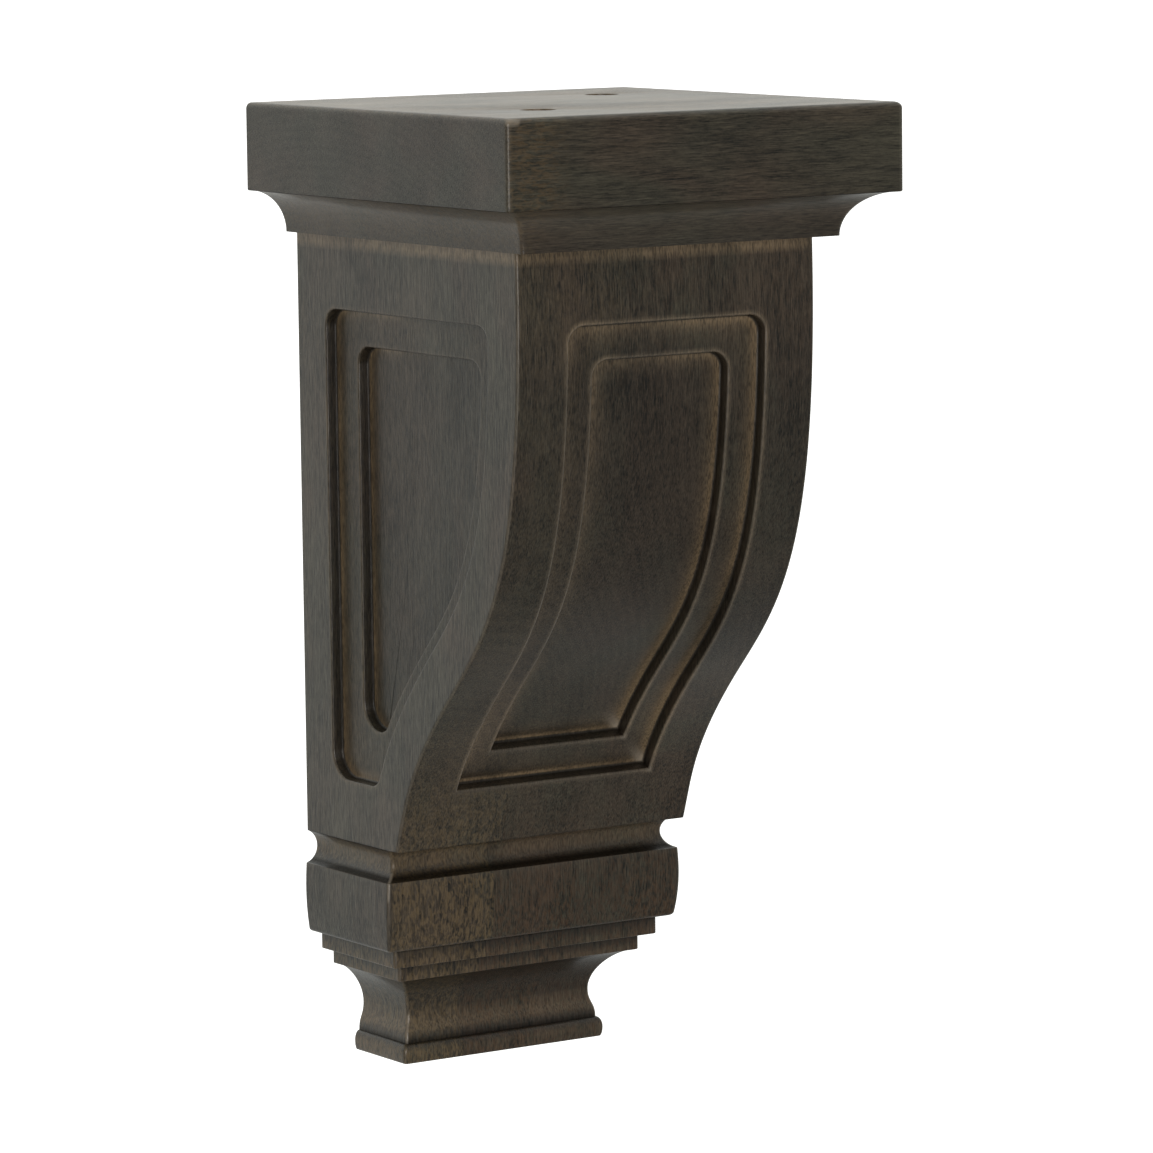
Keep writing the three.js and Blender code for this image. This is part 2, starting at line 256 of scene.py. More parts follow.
def front_at(distance, sink):
    """Side-view point (y, z) at a distance down the S-curve, sunk below its surface."""
    y, z, hy, hz = (np.interp(distance, run, column) for column in (*curve.T, *heading.T))
    return np.stack([y - sink * hz, z + sink * hy], axis=-1)


def distance_at(level):
    """Distance down the S-curve at a level."""
    return float(np.interp(-level, -curve[:, 1], run))


def arc(centre, radius, start, end):
    """Arc of an outline, angles in degrees."""
    a = np.radians(np.linspace(start, end, ARC_STEPS + 1))
    return np.stack([centre[0] + radius * np.cos(a), centre[1] + radius * np.sin(a)], axis=-1)


def gathered(count):
    """Shares from 0 to 1 that lie closer together at both ends."""
    t = np.linspace(0, 1, count + 1)
    return t - CROWDING * np.sin(2 * np.pi * t) / (2 * np.pi)


def centred(count):
    """The same from -1 to 1."""
    return 2 * gathered(count) - 1


def spread(line, count):
    """Points of a line at gathered shares of its length."""
    line = np.array(line, float)
    lengths = np.concatenate([[0], np.cumsum(np.linalg.norm(np.diff(line, axis=0), axis=1))])
    wanted = gathered(count) * lengths[-1]
    return np.stack([np.interp(wanted, lengths, column) for column in line.T], axis=-1)


def closed_loop(lines, counts):
    """Four lines, each ending where the next starts, as one closed loop."""
    return np.vstack([spread(line, count)[:-1] for line, count in zip(lines, counts)])


def outset(loop, reach):
    """The loop, which turns to the left, moved outwards by a reach, square to its near neighbours' line."""
    way = np.roll(loop, -NEAR, axis=0) - np.roll(loop, NEAR, axis=0)
    return loop + reach * np.stack([way[:, 1], -way[:, 0]], axis=-1) / np.linalg.norm(way, axis=1)[:, None]


class Skin:
    """Gathers grids and flat faces of one piece, with a stain-and-painted-shade, a
    wear-and-painted-highlight and a rub value at each point.
    """

    def __init__(self):
        self.points, self.faces, self.marks = [], [], []

    def grid(self, rows, marks, closed=False):
        """Faces between rows of points. Marks are given for each row or for each point."""
        rows = np.array(rows, float)
        count = rows.shape[1]
        base = len(self.points)
        self.points.extend((rows.reshape(-1, 3) + (0, 0, JOINT)) * MM)
        marks = np.array(marks, float)
        if marks.ndim == 2:
            marks = np.repeat(marks[:, None, :], count, axis=1)
        self.marks.extend(marks.reshape(-1, 3))
        for r in range(len(rows) - 1):
            for i in range(count if closed else count - 1):
                j = (i + 1) % count
                a = base + r * count
                self.faces.append((a + i, a + j, a + count + j, a + count + i))

    def flat(self, points):
        """One unmarked flat face."""
        base = len(self.points)
        self.points.extend((np.array(points, float) + (0, 0, JOINT)) * MM)
        self.marks.extend([(0, 0, 0)] * len(points))
        self.faces.append(tuple(range(base, base + len(points))))

    def piece(self, name, material, close=None):
        """Welds what was gathered into one closed mesh, softly shaded but for its square edges."""
        mesh = bpy.data.meshes.new(name)
        mesh.from_pydata([tuple(p) for p in self.points], [], self.faces)
        for i, mark in enumerate(("stain", "wear_and_highlight", "rub")):
            layer = mesh.attributes.new(mark, "FLOAT", "POINT")
            layer.data.foreach_set("value", np.array(self.marks, np.float32)[:, i].copy())
        work = bmesh.new()
        work.from_mesh(mesh)
        bmesh.ops.remove_doubles(work, verts=work.verts, dist=2e-6)
        bmesh.ops.dissolve_degenerate(work, edges=work.edges, dist=1e-6)
        if close:
            close(work)
        bmesh.ops.triangulate(work, faces=[f for f in work.faces if len(f.verts) > 4])
        bmesh.ops.recalc_face_normals(work, faces=work.faces)
        for edge in work.edges:
            edge.smooth = len(edge.link_faces) == 2 and edge.calc_face_angle(0) < math.radians(SQUARE_EDGE)
        for face in work.faces:
            face.smooth = True
        work.to_mesh(mesh)
        work.free()
        mesh.materials.append(material)
        piece = bpy.data.objects.new(name, mesh)
        bpy.context.scene.collection.objects.link(piece)
        return piece


def front_outline(half, top, bottom, corner):
    """Panel on the front as lines of (x, distance): bottom, right, top and left."""
    right_round = arc((half - corner, top + corner), corner, 0, -45)
    top_round = arc((half - corner, top + corner), corner, -45, -90)
    right = np.vstack([[[half, bottom]], right_round])
    left = right[::-1] * (-1, 1)
    across = np.vstack([top_round, top_round[::-1] * (-1, 1)])
    return [[(-half, bottom), (half, bottom)], right, across, left]


def side_outline(back_depth, top, bottom, setback):
    """Panel on a side as lines of (y, z): bottom, back, top and front."""
    line = front_at(np.linspace(0, curve_length, 400), SIDE_MARGIN) + (setback, 0)

    def at(level):
        return float(np.interp(-level, -line[:, 1], line[:, 0]))

    back = -back_depth
    upper = top - PANEL_CORNER
    fore = at(upper)
    tip = np.array([at(bottom), bottom])
    rise = np.array([at(bottom + PANEL_CORNER), bottom + PANEL_CORNER]) - tip
    rise /= np.linalg.norm(rise)
    half_angle = math.acos(rise[0]) / 2
    middle = rise + (1, 0)
    centre = tip + middle / np.linalg.norm(middle) * PANEL_CORNER / math.sin(half_angle)
    sweep = 180 - 2 * math.degrees(half_angle)
    toe_front = arc(centre, PANEL_CORNER, 270 - sweep, 270 - sweep / 2)
    toe_sole = arc(centre, PANEL_CORNER, 270 - sweep / 2, 270)
    heel = (back - SIDE_HEEL, bottom + SIDE_HEEL)
    back_top = (back - PANEL_CORNER, upper)
    front_top = (fore + PANEL_CORNER, upper)
    falling = line[(line[:, 1] < upper) & (line[:, 1] > toe_front[0, 1])]
    return [
        np.vstack([toe_sole, arc(heel, SIDE_HEEL, -90, -45)]),
        np.vstack([arc(heel, SIDE_HEEL, -45, 0), arc(back_top, PANEL_CORNER, 0, 45)]),
        np.vstack([arc(back_top, PANEL_CORNER, 45, 90), arc(front_top, PANEL_CORNER, 90, 135)]),
        np.vstack([arc(front_top, PANEL_CORNER, 135, 180), falling, toe_front]),
    ]


def recess_rings(loop_at, depth, above, below, which):
    """Loop, sink and marks across one step of a panel, from the face above to the floor below.

    loop_at gives the panel's outline moved outwards by a reach. above and below are stain and wear."""
    rub_reach, arris_wear_and_highlight = PANEL_RUBS[which]
    stain_above, wear_above = above
    rings = [(RIM_REACH, 0.0, stain_above, wear_above, 0)]
    for reach, worn_and_lit in RIM_RUBS:
        wear_and_highlight = max(wear_above, 0.5 * worn_and_lit * arris_wear_and_highlight)
        rings.append((reach, 0.0, stain_above, wear_and_highlight, 3 * worn_and_lit * arris_wear_and_highlight))
    # The arris, paled by wear and by a painted highlight
    for share in np.linspace(0, 1, ROUND):
        a = math.radians(90 * share)
        reach, sink = PANEL_ARRIS * (1 - math.sin(a)), PANEL_ARRIS * (1 - math.cos(a))
        stain = max(stain_above, ARRIS_GLAZE_AND_SHADE * share**3)
        worn_and_lit = arris_wear_and_highlight * (1 - share)
        rings.append((reach, sink, stain, max(worn_and_lit, wear_above * (1 - share)), 3 * worn_and_lit))
    # The wall, and the fillet at its foot, darkened by glaze and by painted shade
    rings.append((0.0, 0.45 * PANEL_STEP, WALL_GLAZE_AND_SHADE, 0, 0))
    for share in np.linspace(0, 1, ROUND):
        a = math.radians(90 * share)
        sink = PANEL_STEP - PANEL_FILLET * (1 - math.sin(a))
        stain = CORNER_GLAZE_AND_SHADE - 0.7 * share**4
        rings.append((-PANEL_FILLET * (1 - math.cos(a)), sink, stain, 0, share**4))
    # The floor
    rings.append((-PANEL_FILLET - 0.5, PANEL_STEP, *below, 0.95))
    for share, rub in FLOOR_RUBS:
        rings.append((-share * rub_reach, PANEL_STEP, *below, rub))
    return [(loop_at(reach), depth + sink, marks) for reach, sink, *marks in rings]


def panelled_face(which, border, outer, inner, place, spine, patina):
    """Face of the body from its border to the innermost floor, as rings that keep their places round it."""
    rim, outer_floor, inner_floor = PANEL_TONES[which]
    first = recess_rings(outer, 0.0, rim, outer_floor, which)
    rings = []
    for share in (0, 0.03, 0.1, 0.25, 0.45, 0.7):
        rings.append((border * (1 - share) + first[0][0] * share, 0.0, (*rim, 0)))
    rings += first
    rings += recess_rings(inner, PANEL_STEP, outer_floor, inner_floor, which)
    last = rings[-1][0]
    for share in (0.15, 0.32, 0.5, 0.68, 0.85, 1.0):
        rings.append((last * (1 - share) + spine(last) * share, 2 * PANEL_STEP, (*inner_floor, 0)))
    marks = []
    for loop, _, (stain, wear_and_highlight, rub) in rings:
        row = []
        for shade, rubbing, on_rub, beside, glint in zip(*patina(loop)):
            pooled = shade + on_rub * rub + beside * rub * (1 - rub)
            # glint puts a painted highlight into the wear mark
            row.append((max(stain, pooled), max(wear_and_highlight, glint * rub), min(rub * rubbing, 1)))
        marks.append(row)
    body_skin.grid([place(loop, sink) for loop, sink, _ in rings], marks, closed=True)


body_skin = Skin()
arris_turns = np.radians(np.linspace(0, 90, ROUND))
edge_distances = gathered(ALONG) * curve_length
flat_half = BODY_HALF - ARRIS
across_xs = centred(ACROSS) * flat_half

# Front face. Its patina is given at places down or across it: shade, rubbing, and stain along the bottom
SHADE_DOWN = (20, 50, 160, 200), (0, 0.33, 0.33, 0)
RUBBED_DOWN = (150, 180), (1, 1.25)
RUBBED_ACROSS = (-FRONT_HALF, FRONT_HALF), (0.8, 1.2)
POOLED_ACROSS = (-FRONT_HALF, FRONT_HALF), (3.2, 1.8)
POOL_REACH = 6
# Strength and reach of the haze at the upper left and of the painted glint highlight at the lower right
HAZE = (1.2, 14)
GLINT = (0.8, 2.4)

top_distance = distance_at(-PANEL_DROP)
bottom_distance = distance_at(FRONT_RISE - BRACKET_DEEP)
front_counts = (ACROSS, ALONG, ACROSS, ALONG)
front_border = closed_loop(
    [
        [(-flat_half, curve_length), (flat_half, curve_length)],
        [(flat_half, curve_length), (flat_half, 0)],
        [(flat_half, 0), (-flat_half, 0)],
        [(-flat_half, 0), (-flat_half, curve_length)],
    ],
    front_counts,
)


def on_front(loop, sink):
    """Points of a loop laid on the S-curve, sunk below it."""
    return np.column_stack([loop[:, 0], front_at(loop[:, 1], sink)])


def mirrored(loop):
    """The loop with its distances turned downwards, so that it runs to the left."""
    return loop * (1, -1)


def front_ring(inset, reach):
    """A front panel's outline, its own inset less the reach away from the outer panel's."""
    moved = inset - reach
    levels = (top_distance + moved, bottom_distance - moved)
    ring = front_outline(FRONT_HALF - moved, *levels, PANEL_CORNER + reach)
    return mirrored(closed_loop(ring, front_counts))


def front_spine(loop):
    """Upright line in the middle of the inner floor that the loop closes on."""
    middle = loop[:, 1].mean()
    return np.stack([0 * loop[:, 0], middle + FRONT_SPINE * (loop[:, 1] - middle)], axis=-1)


def near_corner(across, down, strength, reach):
    """A strength that fades away from a corner of a ring, by distances across and down from it."""
    return strength * np.exp(-(across**2 + down**2) / reach**2)


def front_patina(loop):
    """Along a ring: shade, rubbing, stain pooled on the rub and beside it, and glint."""
    x, down = loop[:, 0], -loop[:, 1]
    rubbing = np.interp(x, *RUBBED_ACROSS) * np.interp(down, *RUBBED_DOWN)
    rubbing += near_corner(x - x.min(), down - down.min(), *HAZE)
    beside = np.clip(1 - (down.max() - down) / POOL_REACH, 0, 1) * np.interp(x, *POOLED_ACROSS)
    glint = near_corner(x - x.max(), down - down.max(), *GLINT)
    return np.interp(down, *SHADE_DOWN), rubbing, 0 * x, beside, glint


panelled_face(
    "front",
    mirrored(front_border),
    lambda reach: front_ring(0, reach),
    lambda reach: front_ring(FRONT_NEST, reach),
    lambda loop, sink: on_front(mirrored(loop), sink),
    front_spine,
    front_patina,
)

# Side faces, with the rounded front arrises. They are rubbed towards the back, with stain pooled in front
SIDE_RUBBED = (-80, -30), (0.2, 1.4)
SIDE_POOLED = (-75, -50), (0.5, 0)
# Wear and painted highlight along the body's rounded front arrises
FRONT_ARRIS_WEAR_AND_HIGHLIGHT = 0.15

side_counts = (DEEP, ALONG, DEEP, ALONG)
toe = front_at(curve_length, ARRIS)
shoulder_edge = front_at(0, ARRIS)
side_border = closed_loop(
    [
        [toe, (0, -BRACKET_DEEP)],
        [(0, -BRACKET_DEEP), (0, 0)],
        [(0, 0), shoulder_edge],
        [shoulder_edge, toe],
    ],
    side_counts,
)
side_border[-ALONG:] = front_at(edge_distances[:-1], ARRIS)
side_bottom = SIDE_RISE - BRACKET_DEEP
side_outer = closed_loop(side_outline(SIDE_MARGIN, -PANEL_DROP, side_bottom, 0), side_counts)
nest_top, nest_back, nest_front, nest_bottom = SIDE_NEST
side_inner = closed_loop(
    side_outline(SIDE_MARGIN + nest_back, -PANEL_DROP - nest_top, side_bottom + nest_bottom, nest_front),
    side_counts,
)


def side_patina(loop):
    """As on the front, but without shade, stain beside the rub or glint."""
    y = loop[:, 0]
    return 0 * y, np.interp(y, *SIDE_RUBBED), np.interp(y, *SIDE_POOLED), 0 * y, 0 * y


for side in (-1, 1):
    panelled_face(
        "side",
        side_border,
        lambda reach: outset(side_outer, reach),
        lambda reach: outset(side_inner, reach),
        lambda loop, sink: np.column_stack([np.full(len(loop), side * (BODY_HALF - sink)), loop]),
        lambda loop: np.repeat(loop.mean(axis=0)[None], len(loop), axis=0),
        side_patina,
    )
    strip = []
    for a in arris_turns:
        x = side * (flat_half + ARRIS * math.sin(a))
        line = front_at(edge_distances, ARRIS * (1 - math.cos(a)))
        strip.append(np.column_stack([np.full(len(line), x), line]))
    body_skin.grid(strip, [(0, FRONT_ARRIS_WEAR_AND_HIGHLIGHT * math.sin(2 * a), 0) for a in arris_turns])

# Foot, as rings of one moulding round three sides
BAND_OVERHANG = 1.2
BAND_SETBACK = 4.4
BAND_HEIGHT = 25.6
BAND_SHOULDER = 0.5
BAND_TAPERS = (1.2, 1.9)
BAND_CORNER = 1.8
NECK_RADIUS = 6.3
NECK_SINK = 5.1
STEP_SETBACKS = (6.5, 11.3)
STEP_HEIGHTS = (6.9, 6.1)
STEP_ROUND = 0.5
SCOTIA_SINKS = (12.5, 15.0)
SCOTIA_UPPER = 15.6
SCOTIA_LOWER = 10.5
SCOTIA_RETURN = 2.0
SCOTIA_HOLDS = (0.42, 0.49)
BEAD_HEIGHT = 7.3
BEAD_PROUD = 1.9
BEAD_SOLE_ROUND = 0.9
FOOT_ARRIS = 1.1
# Wear and painted highlight of the foot's two upright corners: most near the band's top and on the scotia's
# lower half
BAND_TOP_NEAR = (6, 3)
WORN_AND_LIT_CORNER = 0.45
OTHER_CORNER = 0.1

neck_centre = NECK_SINK - NECK_RADIUS
neck_above = math.sqrt(NECK_RADIUS**2 - (BAND_OVERHANG - neck_centre) ** 2)
neck_below = math.sqrt(NECK_RADIUS**2 - (BAND_SHOULDER - neck_centre) ** 2)
band_top = -BRACKET_DEEP - neck_above - neck_below
band_bottom = band_top - BAND_HEIGHT
first_step = band_bottom - STEP_HEIGHTS[0]
second_step = first_step - STEP_HEIGHTS[1]
scotia_middle = second_step - SCOTIA_UPPER
bead_top = scotia_middle - SCOTIA_LOWER


def ellipse(u, v, radius_u, radius_v, start, end, steps):
    """Arc of a moulding's profile, angles in degrees."""
    a = np.radians(np.linspace(start, end, steps + 1))
    return [(u + radius_u * math.cos(t), v + radius_v * math.sin(t)) for t in a]


def foot_profile(taper, sink):
    """Insets and levels up the foot, each with its stain, wear and rub; its dark values in the creases and
    under each overhang are painted shade.
    """
    top = STEP_SETBACKS[1]
    deep = top + sink
    base = deep - SCOTIA_RETURN
    face = base - BEAD_PROUD
    half_bead = BEAD_HEIGHT / 2
    bead_middle = bead_top - half_bead
    sweep = bezier(
        [
            (base, bead_top),
            (base, bead_top + SCOTIA_LOWER / 2),
            (deep, scotia_middle - SCOTIA_LOWER / 2),
            (deep, scotia_middle),
        ],
        14,
    )
    rise = bezier(
        [
            (deep, scotia_middle),
            (deep, scotia_middle + SCOTIA_HOLDS[1] * SCOTIA_UPPER),
            (top + SCOTIA_HOLDS[0] * sink, second_step),
            (top, second_step),
        ],
        24,
    )
    t = np.linspace(0, 1, 15)[:, None]
    low = np.array((taper, band_bottom + BAND_CORNER))
    mid = np.array((-BAND_SHOULDER, (band_top + band_bottom) / 2))
    high = np.array((BAND_SHOULDER, band_top))
    band = (1 - t) ** 2 * low + 2 * t * (1 - t) * mid + t**2 * high
    start = math.degrees(math.asin(-neck_below / NECK_RADIUS))
    end = math.degrees(math.asin(neck_above / NECK_RADIUS))
    rows = []

    def ramp(points, *stops):
        """Adds rows whose stain, wear and rub run evenly through the stops."""
        places = np.linspace(0, len(stops) - 1, len(points))
        columns = [np.interp(places, range(len(stops)), [s[i] for s in stops]) for i in range(3)]
        rows.extend((u, v, *marks) for (u, v), *marks in zip(points, *columns))

    plain, brown = (0, 0, 0), (0, 0, 0.14)
    # The darkening towards the creases and under each overhang below is painted shade
    sole = ellipse(face + BEAD_SOLE_ROUND, bead_middle, BEAD_SOLE_ROUND, half_bead, 270, 180, 8)
    ramp(sole, plain, (0, 0, 0.15))
    ramp(ellipse(base, bead_middle, BEAD_PROUD, half_bead, 180, 90, 8)[1:], (0, 0, 0.15), (0.8, 0, 0))
    ramp(sweep[1:], (0.7, 0, 0), (0, 0, 0.3), (0, 0, 0.3), (0.1, 0, 0.1))
    ramp(rise[1:-1], (0.2, 0, 0), (0.5, 0, 0), (0.6, 0, 0), (0.7, 0, 0))
    for setback, lower, upper in (
        (STEP_SETBACKS[1], second_step, first_step),
        (STEP_SETBACKS[0], first_step, band_bottom),
    ):
        edge = ellipse(setback + STEP_ROUND, lower + STEP_ROUND, STEP_ROUND, STEP_ROUND, 270, 180, 4)
        ramp(edge, plain, brown)
        wall = [(setback, lower + (upper - lower) * k) for k in (0.25, 0.5, 0.8, 1.0)]
        ramp(wall, brown, (0.15, 0, 0), (0.5, 0, 0), (0.9, 0, 0))
    corner = ellipse(taper + BAND_CORNER, band_bottom + BAND_CORNER, BAND_CORNER, BAND_CORNER, 270, 180, 6)
    ramp(corner, (0.3, 0, 0), plain)
    ramp(band[1:-1], plain)
    ramp(band[-1:], (0.2, 0.05, 0))
    groove = ellipse(neck_centre, band_top + neck_below, NECK_RADIUS, NECK_RADIUS, start, end, 24)[1:]
    # Painted shade in the crease at the band's top, and painted shadow under the body's overhang at the
    # groove's top
    stains = (0.75, 0.85, 0.35, 0.05, 0, 0, 0.4, 0.95)
    rubs = (0, 0, 0.12, 0.24, 0.28, 0.24, 0.1, 0)
    ramp(groove, *((stain, 0, rub) for stain, rub in zip(stains, rubs)))
    return rows


def round_ring(half, depth, level, corner, deep=DEEP, across=ACROSS):
    """Ring from the back's left end round the front, its two corners rounded, to the back's right end."""
    left = [(-half, -s * (depth - corner), level) for s in gathered(deep)]
    for a in arris_turns[1:]:
        left.append((-half + corner * (1 - math.cos(a)), -depth + corner * (1 - math.sin(a)), level))
    front = [(s * (half - corner), -depth, level) for s in centred(across)[1:-1]]
    return left + front + [(-x, y, z) for x, y, z in left[::-1]]


foot_rows, foot_marks = [], []
corner_wear_and_highlight = np.zeros(2 * DEEP + ACROSS + 2 * (ROUND - 1) + 1)
for first in (DEEP, DEEP + ACROSS + ROUND - 1):
    corner_wear_and_highlight[first : first + ROUND] = np.sin(2 * arris_turns) ** 2
band_half = BODY_HALF + BAND_OVERHANG
band_depth = NECK_DEPTH - BAND_SETBACK
side_rows, front_rows = (foot_profile(BAND_TAPERS[i], SCOTIA_SINKS[i]) for i in (0, 1))
for (side_inset, level, stain, wear_and_highlight, rub), (front_inset, *_) in zip(side_rows, front_rows):
    foot_rows.append(round_ring(band_half - side_inset, band_depth - front_inset, level, FOOT_ARRIS))
    near_band_top = band_top - BAND_TOP_NEAR[0] < level < band_top + BAND_TOP_NEAR[1]
    bare_and_lit = WORN_AND_LIT_CORNER if near_band_top or bead_top < level < scotia_middle else OTHER_CORNER
    foot_marks.append([(stain * (1 - 0.5 * w), max(wear_and_highlight, bare_and_lit * w), rub) for w in corner_wear_and_highlight])


def bracket_rim(distance, back_level):
    """Outline of the bracket at one end of the S-curve, in the order of a foot ring."""
    side_y, side_z = front_at(distance, ARRIS)
    left = [(-BODY_HALF, s * side_y, s * side_z + (1 - s) * back_level) for s in gathered(DEEP)]
    for a in arris_turns[::-1][1:]:
        left.append((-flat_half - ARRIS * math.sin(a), *front_at(distance, ARRIS * (1 - math.cos(a)))))
    front = [(x, *front_at(distance, 0)) for x in across_xs[1:-1]]
    return left + front + [(-x, y, z) for x, y, z in left[::-1]]


brim = bracket_rim(curve_length, -BRACKET_DEEP)
foot_rows.append(brim)
# The rim over the neck groove is darkened as painted shadow under the bracket's overhang
foot_marks.append([(0.6, 0, 0)] * len(brim))
body_skin.grid(foot_rows, foot_marks)
body_skin.flat(foot_rows[0])
body_skin.flat(bracket_rim(0, 0))
back_left = [(-BODY_HALF, 0, -s * BRACKET_DEEP) for s in gathered(ALONG)]
back_right = [(-x, y, z) for x, y, z in back_left[::-1]]
foot_left = [row[0] for row in foot_rows[:-1]]
foot_right = [row[-1] for row in foot_rows[:-1][::-1]]
body_skin.flat(foot_left + back_left[::-1] + back_right[::-1] + foot_right)

# Growth rings 3.4 mm apart round a heart off to one side, where the wave pattern repeats every 0.314
RING_SCALE = 0.314 / (3.4 * MM)
HEART = (0.06, 0.05, 0.03)


def stained_maple(name, grain, evenness=0.0, staves=(), bands=()):
    """Hard maple under an espresso stain and a satin lacquer, its grain along one axis.

    The eye sees near-black brown with fine short fibres along the grain, soft olive and red-brown clouds
    where the stain took unevenly, a warmer speckled brown where it was rubbed back, black corners, and pale
    arrises. evenness softens the grain. staves are strips of another board: from x to x, the second edge
    blurred, below a level, then strength and colour. bands are rubbed strips: middle level, half height and
    strength."""
    material = bpy.data.materials.new(name)
    tree = empty_tree(material)
    place = add(tree, "TexCoord", {}, "Object")
    # Millimetres across and along the grain, then detail, roughness and distortion. Maple's vessels are
    # 0.1 mm wide, and are drawn 0.4 mm wide so that they show
    patterns = {
        "fibres": (0.4, 6.5, 2.0, 0.6, 0.25),
        "pores": (0.5, 2.6, 1.0, 0.5, 0.3),
        "streaks": (2.2, 24.0, 4.0, 0.65, 0.4),
        "clouds": (24.0, 48.0, 2.0, 0.5, 0.5),
        "tints": (34.0, 60.0, 1.0, 0.5, 0.8),
        "specks": (0.6, 0.9, 1.0, 0.5, 0.0),
        "flecks": (1.1, 3.0, 2.0, 0.6, 0.7),
    }
    seen = {}
    for pattern, (across, along, detail, roughness, distortion) in patterns.items():
        factors = [1 / (MM * (along if axis == grain else across)) for axis in "XYZ"]
        stretched = add(tree, "VectorMath", {0: place, 1: factors}, operation="MULTIPLY")
        noise = {"Vector": stretched, "Scale": 1.0, "Detail": detail, "Roughness": roughness}
        seen[pattern] = add(tree, "TexNoise", {**noise, "Distortion": distortion})
    marks = {
        mark: add(tree, "Attribute", {}, "Fac", attribute_name=mark, attribute_type="GEOMETRY")
        for mark in ("stain", "wear_and_highlight", "rub")
    }
    # The rings show on the end grain and run as long bands elsewhere
    factors = [RING_SCALE * (0.03 if axis == grain else 1) for axis in "XYZ"]
    heart = add(tree, "VectorMath", {0: place, 1: HEART}, operation="ADD")
    heart = add(tree, "VectorMath", {0: heart, 1: factors}, operation="MULTIPLY")
    waves = {"Vector": heart, "Scale": 1.0, "Distortion": 2.6, "Detail": 2.0, "Detail Scale": 0.5}
    seen["rings"] = add(tree, "TexWave", waves, "Fac", wave_type="RINGS", rings_direction=grain)
    tone = add(tree, "Math", {0: seen["fibres"], 1: 0.45}, operation="MULTIPLY")
    weights = {"pores": 0.16, "streaks": 0.13, "clouds": 0.16, "specks": 0.08, "rings": 0.02}
    for pattern, weight in weights.items():
        tone = add(tree, "Math", {0: seen[pattern], 1: weight, 2: tone}, operation="MULTIPLY_ADD")
    # Dark to pale by the tone, and the pale olive or red-brown by the tints
    paleness = add(tree, "MapRange", {0: tone, 1: 0.41 - evenness, 2: 0.60 + evenness})
    hue = add(tree, "MapRange", {0: seen["tints"], 1: 0.36, 2: 0.62})
    pale = add(tree, "Mix", {0: hue, 6: "#403b2c", 7: "#46392a"}, 2, data_type="RGBA")
    wood = add(tree, "Mix", {0: paleness, 6: "#11100d", 7: pale}, 2, data_type="RGBA")
    across_place = add(tree, "SeparateXYZ", {0: place}, "X")
    level = add(tree, "SeparateXYZ", {0: place}, "Z")
    for left, right, soft, top, most, colour in staves:
        inside = add(tree, "MapRange", {0: across_place, 1: (left - 0.3) * MM, 2: (left + 0.3) * MM})
        edge = {0: across_place, 1: (right - soft) * MM, 2: (right + soft) * MM, 3: 1.0, 4: 0.0}
        outside = add(tree, "MapRange", edge)
        fading = {0: level, 1: (top - 30) * MM, 2: (top + 12) * MM, 3: most, 4: 0.25 * most}
        below = add(tree, "MapRange", fading)
        strip = add(tree, "Math", {0: inside, 1: outside}, operation="MULTIPLY")
        strip = add(tree, "Math", {0: strip, 1: below}, operation="MULTIPLY")
        mottled = add(tree, "MapRange", {0: seen["flecks"], 1: 0.42, 2: 0.60, 3: 0.0, 4: 1.0})
        strip = add(tree, "Math", {0: strip, 1: mottled}, operation="MULTIPLY")
        wood = add(tree, "Mix", {0: strip, 6: wood, 7: colour}, 2, data_type="RGBA")
    for middle, half_height, most in bands:
        off = add(tree, "Math", {0: level, 1: middle * MM}, operation="SUBTRACT")
        off = add(tree, "Math", {0: off}, operation="ABSOLUTE")
        fading = {0: off, 1: 0.6 * half_height * MM, 2: 1.3 * half_height * MM, 3: most, 4: 0.0}
        nearby = add(tree, "MapRange", fading)
        marks["rub"] = add(tree, "Math", {0: marks["rub"], 1: nearby}, operation="MAXIMUM")
    # Rubbed places show in patches and between the pores, with the stain and painted shade and then bare
    # wood and painted highlights over them
    patchy = add(tree, "MapRange", {0: seen["clouds"], 1: 0.34, 2: 0.60, 3: 0.45, 4: 1.0})
    grainy = add(tree, "MapRange", {0: seen["pores"], 1: 0.36, 2: 0.62, 3: 0.35, 4: 1.0})
    rub = add(tree, "Math", {0: marks["rub"], 1: patchy}, operation="MULTIPLY")
    rub = add(tree, "Math", {0: rub, 1: grainy}, operation="MULTIPLY")
    wood = add(tree, "Mix", {0: rub, 6: wood, 7: "#7f6b51"}, 2, data_type="RGBA")
    # The stain mark darkens to near black: real stain and glaze, and painted shade in recesses, creases and
    # under overhangs
    wood = add(tree, "Mix", {0: marks["stain"], 6: wood, 7: "#0d0b09"}, 2, data_type="RGBA")
    # The wear mark pales: real wear and knocks, and painted highlights on arrises, corners and glints
    wood = add(tree, "Mix", {0: marks["wear_and_highlight"], 6: wood, 7: "#9a8f80"}, 2, data_type="RGBA")
